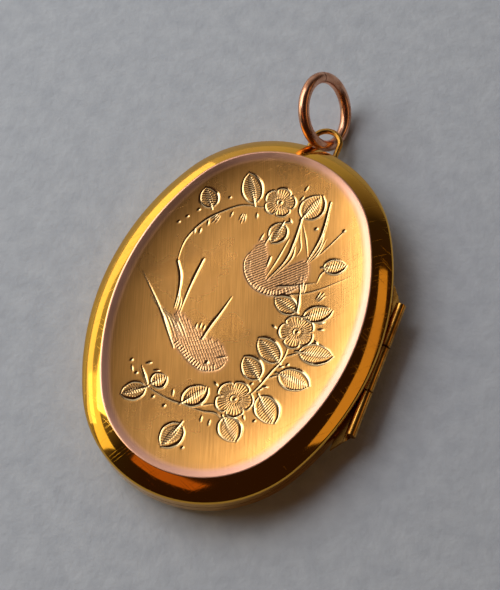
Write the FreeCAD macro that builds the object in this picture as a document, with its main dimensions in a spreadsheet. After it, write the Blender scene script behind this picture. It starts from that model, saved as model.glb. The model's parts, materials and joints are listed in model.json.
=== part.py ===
import FreeCAD, Part
import math
import os
import re
import Sketcher

# An oval hinged locket, lying on its back.  Millimetres.  The origin is the middle of the
# oval on the surface it lies on.  +Z is up through the engraved front, +Y runs along the
# oval towards the jump ring, and +X points to the hinge.

# ---------------------------------------------------------------- driving dimensions
SIZES = {
    # the oval outline of the case, made of four tangent arcs
    "half_length": 20.25,
    "half_width": 14.7,
    "end_ease": 1.9,
    # one half of the case: heights are measured from the seam, insets from the outline
    "half_height": 2.65,
    "wall_height": 1.2,
    "sheet": 0.45,
    "bevel_inset": 2.1,
    "bevel_radius": 5.0,
    "land_width": 0.3,
    "cove_width": 0.8,
    "cove_radius": 1.1,
    "panel_drop": 0.5,
    # inner frame with the well that holds a picture
    "frame_sheet": 0.32,
    "well_inset": 1.95,
    "seat_width": 0.85,
    "seat_height": 1.0,
    "front_flange": 0.53,
    "seam_gap": 0.03,
    "lip_height": 0.42,
    "lip_sheet": 0.25,
    "lip_clearance": 0.06,
    "lip_stop": 8.0,
    # what lies in each well
    "well_clearance": 0.04,
    "card_thickness": 0.26,
    "glass_thickness": 0.4,
    "bezel_width": 0.8,
    "bezel_bevel": 0.14,
    "pad_clearance": 0.03,
    # hinge of three joint tubes
    "hinge_offset": 0.1,
    "hinge_middle": -0.7,
    "tube_length": 4.8,
    "tube_gap": 0.15,
    "tube_radius": 0.55,
    "pin_radius": 0.27,
    "pin_clearance": 0.03,
    "turn_clearance": 0.08,
    "bearer_depth": 1.4,
    "bearer_height": 0.5,
    "bearer_gap": 0.05,
    "bearer_taper": 1.9,
    # loop on the back half and the jump ring in it
    "loop_shift": 1.0,
    "loop_radius": 1.5,
    "loop_wire": 0.31,
    "loop_reach": 3.15,
    "loop_drop": 0.45,
    "foot_radius": 0.48,
    "foot_length": 0.4,
    "ring_radius": 3.62,
    "ring_wire": 0.6,
    "ring_shift": -1.06,
    "ring_reach": 4.44,
    "ring_yaw": 2.5,
    "ring_lean": 59.1,
    "ring_slit": 1.4,
    "ring_slit_turn": 130.7,
}
# sizes that follow from the ones above
DERIVED = {
    "end_radius": "half_width - end_ease",
    "side_radius": "(half_width * half_width + (half_length - end_radius) * (half_length - end_radius)"
    " - end_radius * end_radius) / (2 * (half_width - end_radius))",
    "end_centre": "half_length - end_radius",
    "side_centre": "side_radius - half_width",
    "join_angle": "atan2(end_centre; side_centre) / 1deg",
    "seam": "half_height",
    "panel_inset": "bevel_inset + land_width + cove_width",
    "hinge_axis": "half_width + hinge_offset",
    "hinge_length": "3 * tube_length + 2 * tube_gap",
    "relief_radius": "tube_radius + turn_clearance",
    "well_inner": "well_inset + frame_sheet + well_clearance",
    "card_bottom": "seat_height - card_thickness",
    "glass_bottom": "card_bottom - glass_thickness",
    "loop_height": "seam - loop_drop",
    "loop_centre": "half_length + loop_reach - loop_radius",
}

doc = FreeCAD.newDocument("locket")
sheet = doc.addObject("Spreadsheet::Sheet", "Sizes")


def fill_sheet():
    """Write each size in its own row: a name, a value and an alias of that name."""
    row = 0
    for name, value in list(SIZES.items()) + list(DERIVED.items()):
        row += 1
        sheet.set(f"A{row}", name)
        sheet.set(f"B{row}", f"={value}" if name in DERIVED else str(value))
        sheet.setAlias(f"B{row}", name)
        doc.recompute()


fill_sheet()


def size(expression):
    """The value of an expression that uses the sheet's names."""
    return float(sheet.evalExpression(expression))


def linked(expression):
    """The same expression with each name pointing at the sheet, for another object."""

    def point(match):
        word = match.group()
        return f"Sizes.{word}" if word in SIZES or word in DERIVED else word

    return re.sub(r"[a-z_]+", point, expression)


# ---------------------------------------------------------------- sketches and features
def new_body(name):
    body = doc.addObject("PartDesign::Body", name)
    body.Label = name
    return body


def new_sketch(body, role, offsets=None):
    """A sketch on one of the body's own planes, moved by expressions in its own axes."""
    sketch = body.newObject("Sketcher::SketchObject", f"{body.Name}_sketch")
    plane = [item for item in body.Origin.OriginFeatures if item.Role == role][0]
    sketch.AttachmentSupport = (plane, [""])
    sketch.MapMode = "FlatFace"
    for axis, expression in (offsets or {}).items():
        sketch.setExpression(f"AttachmentOffset.Base.{axis}", linked(expression))
    return sketch


def fix_point(sketch, geometry, point, place):
    """Hold a point at two expressions measured from the sketch's origin."""
    for kind, axis, expression in zip(("DistanceX", "DistanceY"), (-2, -1), place):
        value = size(expression)
        if abs(value) < 1e-9:
            sketch.addConstraint(Sketcher.Constraint("PointOnObject", geometry, point, axis))
            continue
        number = sketch.addConstraint(Sketcher.Constraint(kind, -1, 1, geometry, point, value))
        sketch.setExpression(f"Constraints[{number}]", linked(expression))


def fix_radius(sketch, geometry, expression):
    number = sketch.addConstraint(Sketcher.Constraint("Radius", geometry, size(expression)))
    sketch.setExpression(f"Constraints[{number}]", linked(expression))


def circle(sketch, place, radius):
    centre = FreeCAD.Vector(size(place[0]), size(place[1]), 0)
    curve = Part.Circle(centre, FreeCAD.Vector(0, 0, 1), size(radius))
    geometry = sketch.addGeometry(curve)
    fix_point(sketch, geometry, 3, place)
    fix_radius(sketch, geometry, radius)


def arc_between(start, end, radius, turn):
    """The short arc from start to end: turn is 1 for anticlockwise and -1 for clockwise."""
    chord = end - start
    middle = (start + end) * 0.5
    side = FreeCAD.Vector(-chord.y, chord.x, 0).normalize() * turn
    centre = middle + side * math.sqrt(max(radius**2 - (chord.Length / 2) ** 2, 0))
    first, last = (start, end) if turn > 0 else (end, start)
    angles = [math.atan2(point.y - centre.y, point.x - centre.x) for point in (first, last)]
    whole = Part.Circle(centre, FreeCAD.Vector(0, 0, 1), radius)
    return Part.ArcOfCircle(whole, angles[0], angles[1])


def outline(sketch, corners, arcs=None):
    """A closed outline of straight edges, some of them bent into arcs.

    corners holds a pair of expressions for each corner.  arcs maps the number of an edge to
    its radius and its turn, as arc_between takes them.
    """
    arcs = arcs or {}
    points = [FreeCAD.Vector(size(x), size(y), 0) for x, y in corners]
    ends = []
    for number, start in enumerate(points):
        end = points[(number + 1) % len(points)]
        if number in arcs:
            radius, turn = arcs[number]
            geometry = sketch.addGeometry(arc_between(start, end, size(radius), turn))
            ends.append((geometry, 1, 2) if turn > 0 else (geometry, 2, 1))
        else:
            geometry = sketch.addGeometry(Part.LineSegment(start, end))
            ends.append((geometry, 1, 2))
    for number, (geometry, _, last) in enumerate(ends):
        following, first, _ = ends[(number + 1) % len(ends)]
        sketch.addConstraint(Sketcher.Constraint("Coincident", geometry, last, following, first))
    for number, (geometry, first, _) in enumerate(ends):
        fix_point(sketch, geometry, first, corners[number])
        if number in arcs:
            fix_radius(sketch, geometry, arcs[number][0])


def oval(sketch, inset):
    """The case's oval, set in by an expression: two end arcs and two side arcs."""
    across = f"( end_radius - {inset} ) * cos( join_angle * 1deg )"
    along = f"end_centre + ( end_radius - {inset} ) * sin( join_angle * 1deg )"
    corners = [
        (across, f"-1 * ( {along} )"),
        (across, along),
        (f"-1 * ( {across} )", along),
        (f"-1 * ( {across} )", f"-1 * ( {along} )"),
    ]
    side = (f"side_radius - {inset}", 1)
    end = (f"end_radius - {inset}", 1)
    outline(sketch, corners, {0: side, 1: end, 2: side, 3: end})


def extrude(body, kind, sketch, length, side_type="One side", reverse=False):
    feature = body.newObject(f"PartDesign::{kind}", f"{body.Name}_{kind.lower()}")
    feature.Profile = sketch
    feature.SideType = side_type
    feature.Reversed = reverse
    feature.setExpression("Length", linked(length))
    sketch.Visibility = False
    return feature


def plate(body, inset, low, thickness, kind="Pad"):
    """An oval plate, or with kind Pocket an oval hole, that rises from the height low."""
    sketch = new_sketch(body, "XY_Plane", {"z": low})
    oval(sketch, inset)
    return extrude(body, kind, sketch, thickness, reverse=(kind == "Pocket"))


def band(body, corners, arcs=None):
    """An oval band whose section is given by corners of (inset, height).

    Each quarter of the oval turns about its own arc's centre, so one end and one side are
    revolved, and half a turn about the middle repeats them.
    """
    turned = []
    quarters = (
        ("YZ_Plane", "end_centre", "end_radius", "180 - 2 * join_angle"),
        ("XZ_Plane", "-1 * side_centre", "side_radius", "2 * join_angle"),
    )
    for role, centre, radius, angle in quarters:
        sketch = new_sketch(body, role, {"x": centre})
        outline(sketch, [(f"{radius} - ( {inset} )", height) for inset, height in corners], arcs)
        feature = body.newObject("PartDesign::Revolution", f"{body.Name}_turned")
        feature.Profile = sketch
        feature.ReferenceAxis = (sketch, ["V_Axis"])
        feature.Midplane = True
        feature.setExpression("Angle", linked(f"( {angle} ) * 1deg"))
        sketch.Visibility = False
        turned.append(feature)
    doc.recompute()
    pattern = body.newObject("PartDesign::PolarPattern", f"{body.Name}_halves")
    pattern.Originals = turned
    upright = [item for item in body.Origin.OriginFeatures if item.Role == "Z_Axis"][0]
    pattern.Axis = (upright, [""])
    pattern.Angle = 360
    pattern.Occurrences = 2
    body.Tip = pattern


def levels(side):
    """Turns a height above the seam into an absolute one: side is 1 for front, -1 for back."""
    sign = "+" if side > 0 else "-"
    return lambda height: f"seam {sign} ( {height} )"


def flipped(arcs, side):
    """Arc turns for a section that is mirrored for the back half."""
    return {number: (radius, turn * side) for number, (radius, turn) in arcs.items()}


# ---------------------------------------------------------------- reliefs for the hinge
def hinge_relief(body):
    """A round groove along the joint tubes, so that the other half's tubes can turn."""
    sketch = new_sketch(body, "XZ_Plane", {"z": "-1 * hinge_middle"})
    circle(sketch, ("hinge_axis", "seam"), "relief_radius")
    extrude(body, "Pocket", sketch, "hinge_length + 2 * turn_clearance", "Symmetric")


def bearer_plan(side):
    """Corners of a bearer seen from above: the back one is long, with slanted ends."""
    inner = "hinge_axis - bearer_depth"
    reach = "hinge_length / 2" if side < 0 else "tube_length / 2"
    taper = "bearer_taper" if side < 0 else "0"
    return [
        (inner, f"hinge_middle - {reach} - {taper}"),
        ("hinge_axis", f"hinge_middle - {reach}"),
        ("hinge_axis", f"hinge_middle + {reach}"),
        (inner, f"hinge_middle + {reach} + {taper}"),
    ]


def bearer_slot(body, side):
    """The slot in a case edge that a bearer is let into."""
    sketch = new_sketch(body, "XY_Plane", {"z": "seam"})
    outline(sketch, bearer_plan(side))
    extrude(body, "Pocket", sketch, "bearer_gap + bearer_height", reverse=(side > 0))


# ---------------------------------------------------------------- case halves
def cover(name, side):
    """A dished stamping: wall, bevel, crest, cove and a flat panel, all of one sheet."""
    at = levels(side)
    body = new_body(name)
    panel_low = "half_height - panel_drop - sheet" if side > 0 else "half_height - panel_drop"
    plate(body, "panel_inset", at(panel_low), "sheet")
    section = [
        ("0", at("0")),
        ("0", at("wall_height")),
        ("bevel_inset", at("half_height")),
        ("bevel_inset + land_width", at("half_height")),
        ("panel_inset", at("half_height - panel_drop")),
        ("panel_inset", at("half_height - panel_drop - sheet")),
        ("bevel_inset + sheet / 3", at("half_height - sheet")),
        ("sheet", at("wall_height - sheet / 2")),
        ("sheet", at("0")),
    ]
    # the bevel bulges a little, and the cove is hollow
    arcs = {1: ("bevel_radius", 1), 3: ("cove_radius", -1)}
    band(body, section, flipped(arcs, side))
    hinge_relief(body)
    bearer_slot(body, side)
    return body


def frame(name, side):
    """A rim soldered inside a cover, with a well and a seat for the picture."""
    at = levels(side)
    flange = "front_flange" if side > 0 else "seam_gap"
    body = new_body(name)
    section = [
        ("sheet", at(flange)),
        ("sheet", at(f"{flange} + frame_sheet")),
        ("well_inset", at(f"{flange} + frame_sheet")),
        ("well_inset", at("seat_height + frame_sheet")),
        ("well_inset + frame_sheet + seat_width", at("seat_height + frame_sheet")),
        ("well_inset + frame_sheet + seat_width", at("seat_height")),
        ("well_inset + frame_sheet", at("seat_height")),
        ("well_inset + frame_sheet", at("seam_gap")),
    ]
    if side > 0:
        section.append(("well_inset", at("seam_gap")))
        section.append(("well_inset", at(flange)))
    band(body, section)
    if side < 0:
        snap_lip(body)
    hinge_relief(body)
    bearer_slot(body, side)
    return body


def snap_lip(body):
    """The raised lip that snaps into the other half, stopped short of the hinge."""
    sketch = new_sketch(body, "XY_Plane", {"z": "seam - seam_gap"})
    oval(sketch, "( sheet + lip_clearance )")
    oval(sketch, "( sheet + lip_clearance + lip_sheet )")
    extrude(body, "Pad", sketch, "seam_gap + lip_height")
    stop = new_sketch(body, "XY_Plane", {"z": "seam - seam_gap"})
    edges = [("lip_stop", "-1 * half_length"), ("half_width", "-1 * half_length")]
    edges += [("half_width", "half_length"), ("lip_stop", "half_length")]
    outline(stop, edges)
    extrude(body, "Pocket", stop, "seam_gap + lip_height", reverse=True)


def half_case(half, side):
    """Everything that moves with one half of the case, apart from its hinge parts."""
    at = levels(side)

    def layer(name, inset, near, far):
        """A flat oval layer between two heights from the seam, near the smaller."""
        body = new_body(f"{half}_{name}")
        low = near if side > 0 else far
        plate(body, inset, at(low), f"{far} - ( {near} )")

    cover(f"{half}_cover", side)
    frame(f"{half}_frame", side)
    pad_inset = "( well_inset + frame_sheet + seat_width + pad_clearance )"
    panel_inside = "half_height - panel_drop - sheet - pad_clearance"
    layer("backing_pad", pad_inset, "seat_height", panel_inside)
    layer("photo_card", "well_inner", "card_bottom", "seat_height")
    layer("glass", "well_inner", "glass_bottom", "card_bottom")
    bezel = new_body(f"{half}_bezel")
    section = [
        ("well_inner", at("seam_gap")),
        ("well_inner", at("glass_bottom")),
        ("well_inner + bezel_width", at("glass_bottom")),
        ("well_inner + bezel_width", at("glass_bottom - bezel_bevel")),
        ("well_inner + bezel_width / 2", at("seam_gap")),
    ]
    band(bezel, section)


# ---------------------------------------------------------------- hinge
def tube(name, place):
    """One joint tube: place is -1, 0 or 1 along the hinge."""
    body = new_body(name)
    along = f"hinge_middle + ( {place} ) * ( tube_length + tube_gap )"
    sketch = new_sketch(body, "XZ_Plane", {"z": f"-1 * ( {along} )"})
    circle(sketch, ("hinge_axis", "seam"), "tube_radius")
    circle(sketch, ("hinge_axis", "seam"), "pin_radius + pin_clearance")
    extrude(body, "Pad", sketch, "tube_length", "Symmetric")


def pin():
    body = new_body("hinge_pin")
    sketch = new_sketch(body, "XZ_Plane", {"z": "-1 * hinge_middle"})
    circle(sketch, ("hinge_axis", "seam"), "pin_radius")
    extrude(body, "Pad", sketch, "hinge_length", "Symmetric")


def bearer(name, side):
    """The plate that carries one half's tubes, hollowed to fit round them."""
    body = new_body(name)
    low = "seam + bearer_gap" if side > 0 else "seam - bearer_gap - bearer_height"
    sketch = new_sketch(body, "XY_Plane", {"z": low})
    outline(sketch, bearer_plan(side))
    extrude(body, "Pad", sketch, "bearer_height")
    own = new_sketch(body, "XZ_Plane", {"z": "-1 * hinge_middle"})
    circle(own, ("hinge_axis", "seam"), "tube_radius")
    extrude(body, "Pocket", own, "2 * hinge_length", "Symmetric")
    if side < 0:
        other = new_sketch(body, "XZ_Plane", {"z": "-1 * hinge_middle"})
        circle(other, ("hinge_axis", "seam"), "relief_radius")
        extrude(body, "Pocket", other, "tube_length + 2 * tube_gap", "Symmetric")


# ---------------------------------------------------------------- loop and jump ring
def loop():
    """A wire bent into a U, each leg in a solder foot against the back half's wall."""
    body = new_body("ring_loop")
    spine = new_sketch(body, "XY_Plane", {"x": "loop_shift", "z": "loop_height"})
    radius = size("loop_radius")
    centre = FreeCAD.Vector(0, size("loop_centre"), 0)
    root = FreeCAD.Vector(0, size("half_length - 1"), 0)
    across = FreeCAD.Vector(radius, 0, 0)
    right = spine.addGeometry(Part.LineSegment(root + across, centre + across))
    whole = Part.Circle(centre, FreeCAD.Vector(0, 0, 1), radius)
    bend = spine.addGeometry(Part.ArcOfCircle(whole, 0, math.pi))
    left = spine.addGeometry(Part.LineSegment(centre - across, root - across))
    fix_point(spine, right, 1, ("loop_radius", "half_length - 1"))
    fix_point(spine, right, 2, ("loop_radius", "loop_centre"))
    fix_point(spine, left, 1, ("-1 * loop_radius", "loop_centre"))
    fix_point(spine, left, 2, ("-1 * loop_radius", "half_length - 1"))
    spine.addConstraint(Sketcher.Constraint("Coincident", right, 2, bend, 1))
    spine.addConstraint(Sketcher.Constraint("Coincident", bend, 2, left, 1))
    level = Sketcher.Constraint("DistanceY", -1, 1, bend, 3, centre.y)
    number = spine.addConstraint(level)
    spine.setExpression(f"Constraints[{number}]", linked("loop_centre"))
    offsets = {"x": "loop_shift", "y": "loop_height", "z": "-1 * ( half_length - 1 )"}
    section = new_sketch(body, "XZ_Plane", offsets)
    circle(section, ("loop_radius", "0"), "loop_wire")
    doc.recompute()
    wire = body.newObject("PartDesign::AdditivePipe", "ring_loop_wire")
    wire.Profile = section
    wire.Spine = (spine, ["Edge1", "Edge2", "Edge3"])
    feet = new_sketch(body, "XZ_Plane", offsets)
    circle(feet, ("loop_radius", "0"), "foot_radius")
    circle(feet, ("-1 * loop_radius", "0"), "foot_radius")
    extrude(body, "Pad", feet, "1 + foot_length")
    wall = new_sketch(body, "XY_Plane", {"z": "0"})
    oval(wall, "0")
    extrude(body, "Pocket", wall, "2 * half_height", reverse=True)


def jump_ring():
    """A round wire ring that leans in the loop, with the fine slit of its butt joint."""
    ring = doc.addObject("Part::Torus", "jump_ring")
    ring.Label = "jump_ring"
    ring.setExpression("Radius1", linked("ring_radius"))
    ring.setExpression("Radius2", linked("ring_wire"))
    ring.setExpression("Angle3", linked("( 360 - ring_slit ) * 1deg"))
    ring.setExpression("Placement.Base.x", linked("loop_shift + ring_shift"))
    ring.setExpression("Placement.Base.y", linked("half_length + ring_reach"))
    # its lowest point rests on the surface that the case lies on
    resting = "ring_radius * sin( ring_lean * 1deg ) + ring_wire"
    ring.setExpression("Placement.Base.z", linked(resting))
    yaw = FreeCAD.Rotation(FreeCAD.Vector(0, 0, 1), size("ring_yaw"))
    lean = FreeCAD.Rotation(FreeCAD.Vector(0, 1, 0), size("ring_lean"))
    slit = FreeCAD.Rotation(FreeCAD.Vector(0, 0, 1), size("ring_slit_turn"))
    ring.Placement.Rotation = yaw.multiply(lean).multiply(slit)


# ---------------------------------------------------------------- assembly
half_case("back", -1)
half_case("front", 1)
for tube_name, tube_place in (("lower", -1), ("middle", 0), ("upper", 1)):
    tube(f"hinge_knuckle_{tube_name}", tube_place)
pin()
bearer("hinge_bearer_back", -1)
bearer("hinge_bearer_front", 1)
loop()
jump_ring()
doc.recompute()

# ---------------------------------------------------------------- checks and files
for item in doc.Objects:
    if "Invalid" in item.State or "Error" in item.State:
        raise RuntimeError(f"{item.Label} failed: {item.State}")
nodes = [item for item in doc.Objects if item.TypeId in ("PartDesign::Body", "Part::Torus")]
for node in nodes:
    if node.Shape.isNull() or not node.Shape.isValid() or len(node.Shape.Solids) != 1:
        raise RuntimeError(f"{node.Label} isn't one sound solid")
os.makedirs("parts", exist_ok=True)
for node in nodes:
    node.Shape.exportStep(os.path.join("parts", f"{node.Label}.step"))
    print(f"{node.Label:24s} {node.Shape.Volume:9.3f} mm3")
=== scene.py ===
import json
import math

import bmesh
import bpy
import numpy as np
from mathutils import Matrix, Vector, noise


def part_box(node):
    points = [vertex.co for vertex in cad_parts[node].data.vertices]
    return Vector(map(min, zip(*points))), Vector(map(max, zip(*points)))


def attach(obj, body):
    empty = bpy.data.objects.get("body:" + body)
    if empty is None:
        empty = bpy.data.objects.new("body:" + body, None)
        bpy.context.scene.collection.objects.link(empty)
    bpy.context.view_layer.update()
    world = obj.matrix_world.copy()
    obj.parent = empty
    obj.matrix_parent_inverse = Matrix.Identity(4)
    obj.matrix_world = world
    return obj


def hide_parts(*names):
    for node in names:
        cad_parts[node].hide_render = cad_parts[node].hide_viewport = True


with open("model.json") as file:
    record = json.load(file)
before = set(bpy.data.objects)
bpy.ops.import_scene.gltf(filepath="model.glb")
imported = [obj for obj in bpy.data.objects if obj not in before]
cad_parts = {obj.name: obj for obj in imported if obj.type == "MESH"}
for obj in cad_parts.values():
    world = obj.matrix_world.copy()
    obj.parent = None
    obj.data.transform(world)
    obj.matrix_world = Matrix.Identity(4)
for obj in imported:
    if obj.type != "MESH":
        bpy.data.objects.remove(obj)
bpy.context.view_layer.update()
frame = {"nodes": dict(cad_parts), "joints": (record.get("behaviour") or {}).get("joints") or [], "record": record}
MM = 0.001


# ------------------------------------------------------------ the case's two covers
# Each cover is one stamping of rolled gold sheet: a thin wall, a wide polished bevel up to
# a crest, a rim inside it where the gold has worn to its copper-red base, and a dished
# panel with a satin grain.  The oval is four tangent arcs, drawn with compasses.
HALF_WIDTH = -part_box("front_cover")[0][0]
HALF_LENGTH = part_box("front_cover")[1][1]
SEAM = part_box("front_cover")[0][2]
HALF_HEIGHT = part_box("front_cover")[1][2] - SEAM
END_RADIUS = 12.8 * MM
END_CENTRE = HALF_LENGTH - END_RADIUS
SIDE_RADIUS = (HALF_WIDTH**2 + END_CENTRE**2 - END_RADIUS**2) / (2 * (HALF_WIDTH - END_RADIUS))
SIDE_CENTRE = SIDE_RADIUS - HALF_WIDTH
JOIN = math.atan2(END_CENTRE, SIDE_CENTRE)
PANEL_INSET = 3.2 * MM
PANEL_DROP = 0.215 * MM
DISH = 0.5 * MM
UNEVEN = 0.02 * MM
SMALL_KNOCK = 2.2 * MM
LARGE_KNOCK = 5 * MM
PANEL_MARGIN = 0.1 * MM


def oval_point(turn, inset, height):
    """The outline's point whose outward normal is at the angle turn, set in by inset."""
    across = math.cos(turn)
    along = math.sin(turn)
    if abs(along) > math.sin(JOIN):
        centre = Vector((0, math.copysign(END_CENTRE, along), height))
        radius = END_RADIUS
    else:
        centre = Vector((-math.copysign(SIDE_CENTRE, across), 0, height))
        radius = SIDE_RADIUS
    return centre + (radius - inset) * Vector((across, along, 0))


def inset_of(point):
    """How far inside the outline a point lies, seen from above."""
    if math.atan2(abs(point.y) - END_CENTRE, abs(point.x)) > JOIN:
        return END_RADIUS - math.hypot(point.x, abs(point.y) - END_CENTRE)
    return SIDE_RADIUS - math.hypot(abs(point.x) + SIDE_CENTRE, point.y)


def panel_height(point):
    """The dished panel's height above the seam at a point."""
    across = min((inset_of(point) - PANEL_INSET) / (HALF_WIDTH - PANEL_INSET), 1)
    return HALF_HEIGHT - PANEL_DROP - DISH * (1 - (1 - across) ** 4)


def knocked(point):
    """How deep years of small knocks have left the polished sheet at a point."""
    small = noise.noise(point / SMALL_KNOCK)
    large = noise.noise(point / LARGE_KNOCK)
    hollow = 0.5 + 0.5 * small + 0.5 * large
    return UNEVEN * min(max(hollow, 0), 1)


def rounded(corners, steps=5):
    """A section's line of (inset, height, fillet) corners in mm, with its corners rounded."""
    line = []
    for number, (inset, height, fillet) in enumerate(corners):
        here = Vector((inset, height))
        if fillet == 0:
            line.append(here * MM)
            continue
        before = Vector(corners[number - 1][:2])
        after = Vector(corners[(number + 1) % len(corners)][:2])
        start = here + (before - here).normalized() * fillet
        end = here + (after - here).normalized() * fillet
        for step in range(steps + 1):
            part = step / steps
            line.append(start.lerp(here, part).lerp(here.lerp(end, part), part) * MM)
    return line


def grow_rings(shell, rim, turns, line, side):
    """Extrudes a rim of edges ring by ring along a section line, for the front or the back."""
    for inset, height in line:
        made = bmesh.ops.extrude_edge_only(shell, edges=rim)["geom"]
        rim = [item for item in made if isinstance(item, bmesh.types.BMEdge)]
        for vert in [item for item in made if isinstance(item, bmesh.types.BMVert)]:
            vert.co = oval_point(vert[turns], inset, SEAM + side * height)
    return rim


def finished(name, shell, smooth_angle=40):
    """The object of a finished bmesh, shaded smooth but for its sharp edges."""
    bmesh.ops.recalc_face_normals(shell, faces=shell.faces)
    limit = math.radians(smooth_angle)
    for edge in shell.edges:
        if len(edge.link_faces) == 2 and edge.calc_face_angle(0) > limit:
            edge.smooth = False
    for face in shell.faces:
        face.smooth = True
    mesh = bpy.data.meshes.new(name)
    shell.to_mesh(mesh)
    shell.free()
    piece = bpy.data.objects.new(name, mesh)
    bpy.context.scene.collection.objects.link(piece)
    return piece


def cut_away(piece, cutter):
    """Takes the cutter's volume out of a piece, and drops the cutter."""
    tool = piece.modifiers.new("cut", "BOOLEAN")
    tool.object = cutter
    tool.solver = "EXACT"
    depsgraph = bpy.context.evaluated_depsgraph_get()
    mesh = bpy.data.meshes.new_from_object(piece.evaluated_get(depsgraph))
    piece.modifiers.clear()
    piece.data = mesh
    bpy.data.objects.remove(cutter)


AXIS_X = frame["joints"][0]["pos_m"][0]
HINGE_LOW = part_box("hinge_knuckle_lower")[0]
HINGE_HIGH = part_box("hinge_knuckle_upper")[1]
TUBE_RADIUS = (HINGE_HIGH[2] - HINGE_LOW[2]) / 2
TURNING_GAP = 0.08 * MM
RELIEF = TUBE_RADIUS + TURNING_GAP


def hinge_cutter():
    """A round bar a little larger than the hinge's tubes, in the place of the tubes."""
    bar = bmesh.new()
    low = HINGE_LOW[1] - TURNING_GAP
    length = HINGE_HIGH[1] + TURNING_GAP - low
    place = Matrix.Translation((AXIS_X, low + length / 2, SEAM))
    place = place @ Matrix.Rotation(math.pi / 2, 4, "X")
    bmesh.ops.create_cone(bar, cap_ends=True, segments=48, radius1=RELIEF, radius2=RELIEF,
                          depth=length, matrix=place)
    return finished("hinge_cutter", bar)


BEARER_RISE = 0.85
BEARER_TRIM = 0.42
LONG_BEARER = 10 * MM
CUTTER_MARGIN = 1.0001


def bearer_cutter(node):
    """A hinge bearer's box, a little nearer the seam and shorter than the bearer itself."""
    low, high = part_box(node)
    block = bmesh.new()
    size = Vector(high) - Vector(low)
    middle = (Vector(high) + Vector(low)) / 2
    middle.z = SEAM + (middle.z - SEAM) * BEARER_RISE
    spare = size.y - (HINGE_HIGH[1] - HINGE_LOW[1])
    if size.y > LONG_BEARER:
        size.y -= 2 * spare * BEARER_TRIM
    size *= CUTTER_MARGIN
    bmesh.ops.create_cube(block, size=1, matrix=Matrix.LocRotScale(middle, None, size))
    return finished("bearer_cutter", block)


# the section from the panel's rim outwards, over the crest and down the wall to the seam,
# and back up inside: inset from the outline, height above the seam, size of the fillet
COVER_SECTION = [
    (3.15, 2.445, 0.0),
    (2.85, 2.49, 0.2),
    (2.2, 2.65, 0.14),
    (1.05, 2.1, 0.6),
    (0.0, 1.25, 0.3),
    (0.0, 0.04, 0.0),
    (0.04, 0.0, 0.0),
    (0.42, 0.0, 0.0),
    (0.45, 0.03, 0.0),
    (0.45, 0.97, 0.1),
    (2.25, 2.2, 0.1),
    (3.2, 1.54, 0.0),
]
SEAM_BAND = 0.1 * MM
FRONT_CELLS = 55
BACK_CELLS = 48


def make_cover(name, side, cells):
    """One cover as a closed shell: a grid for the panel, then rings for the rest."""
    shell = bmesh.new()
    turns = shell.verts.layers.float.new("turn")
    bmesh.ops.create_grid(shell, x_segments=cells, y_segments=cells, size=1)
    for vert in shell.verts:
        # the square grid is drawn out to a disc, and the disc to the oval
        x = vert.co.x * math.sqrt(1 - vert.co.y**2 / 2)
        y = vert.co.y * math.sqrt(1 - vert.co.x**2 / 2)
        reach = min(math.hypot(x, y), 1)
        vert[turns] = math.atan2(HALF_WIDTH * y, HALF_LENGTH * x)
        vert.co = oval_point(vert[turns], PANEL_INSET, 0) * reach
        vert.co.z = SEAM + side * panel_height(vert.co)
    rim = [edge for edge in shell.edges if edge.is_boundary]
    rim = grow_rings(shell, rim, turns, rounded(COVER_SECTION), side)
    bmesh.ops.contextual_create(shell, geom=rim)
    bmesh.ops.recalc_face_normals(shell, faces=shell.faces)
    for vert in shell.verts:
        # the edge at the seam stays true, so that the halves meet
        if abs(vert.co.z - SEAM) > SEAM_BAND:
            vert.co -= vert.normal * knocked(vert.co)
    piece = finished(name, shell)
    cut_away(piece, hinge_cutter())
    cut_away(piece, bearer_cutter("hinge_bearer_front" if side > 0 else "hinge_bearer_back"))
    return piece


# ------------------------------------------------------------ engraving on the front
# Cut by hand with a graver after the panel was grained: two swallows in flight and a spray
# of wild roses.  Each cut is a small V that swells and dies away, and its polished sides
# catch the light.  Places are in mm from the middle of the panel.
FINE = 0.03
SHALLOWEST = 0.004
BRIGHT_DEPTH = 0.05
DIVISIONS = 3
LOOK_ROUND = 0.75
RUB_GAIN = 1.5
REACH_X = 12.2
REACH_Y = 17.8
ROWS = int(2 * REACH_Y / FINE)
COLUMNS = int(2 * REACH_X / FINE)
depths = np.zeros((ROWS, COLUMNS), dtype=np.float32)
rubbed = np.zeros((ROWS, COLUMNS), dtype=np.float32)


def curve_through(points, steps=8):
    """A smooth line through a few points."""
    points = [Vector(point) for point in points]
    if len(points) < 3:
        return [points[0].lerp(points[-1], step / steps) for step in range(steps + 1)]
    padded = [2 * points[0] - points[1]] + points + [2 * points[-1] - points[-2]]
    line = []
    for a, b, c, d in zip(padded, padded[1:], padded[2:], padded[3:]):
        for step in range(steps):
            t = step / steps
            line.append((2 * b + (c - a) * t + (2 * a - 5 * b + 4 * c - d) * t**2
                         + (3 * b - a - 3 * c + d) * t**3) / 2)
    return line + [points[-1]]


def cut(points, width, depth=None, swell=0.5, steps=8):
    """One cut along a line: full width where swell says, and dying away to both ends."""
    depth = depth or width * 0.24
    line = curve_through(points, steps)
    last = len(line) - 1
    for number in range(last):
        along = (number + 0.5) / last
        full = 1 - abs(along - swell) / max(swell, 1 - swell)
        half = width / 2 * (0.25 + 0.75 * full**0.7)
        stamp(line[number], line[number + 1], half, depth * half / (width / 2))


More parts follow.
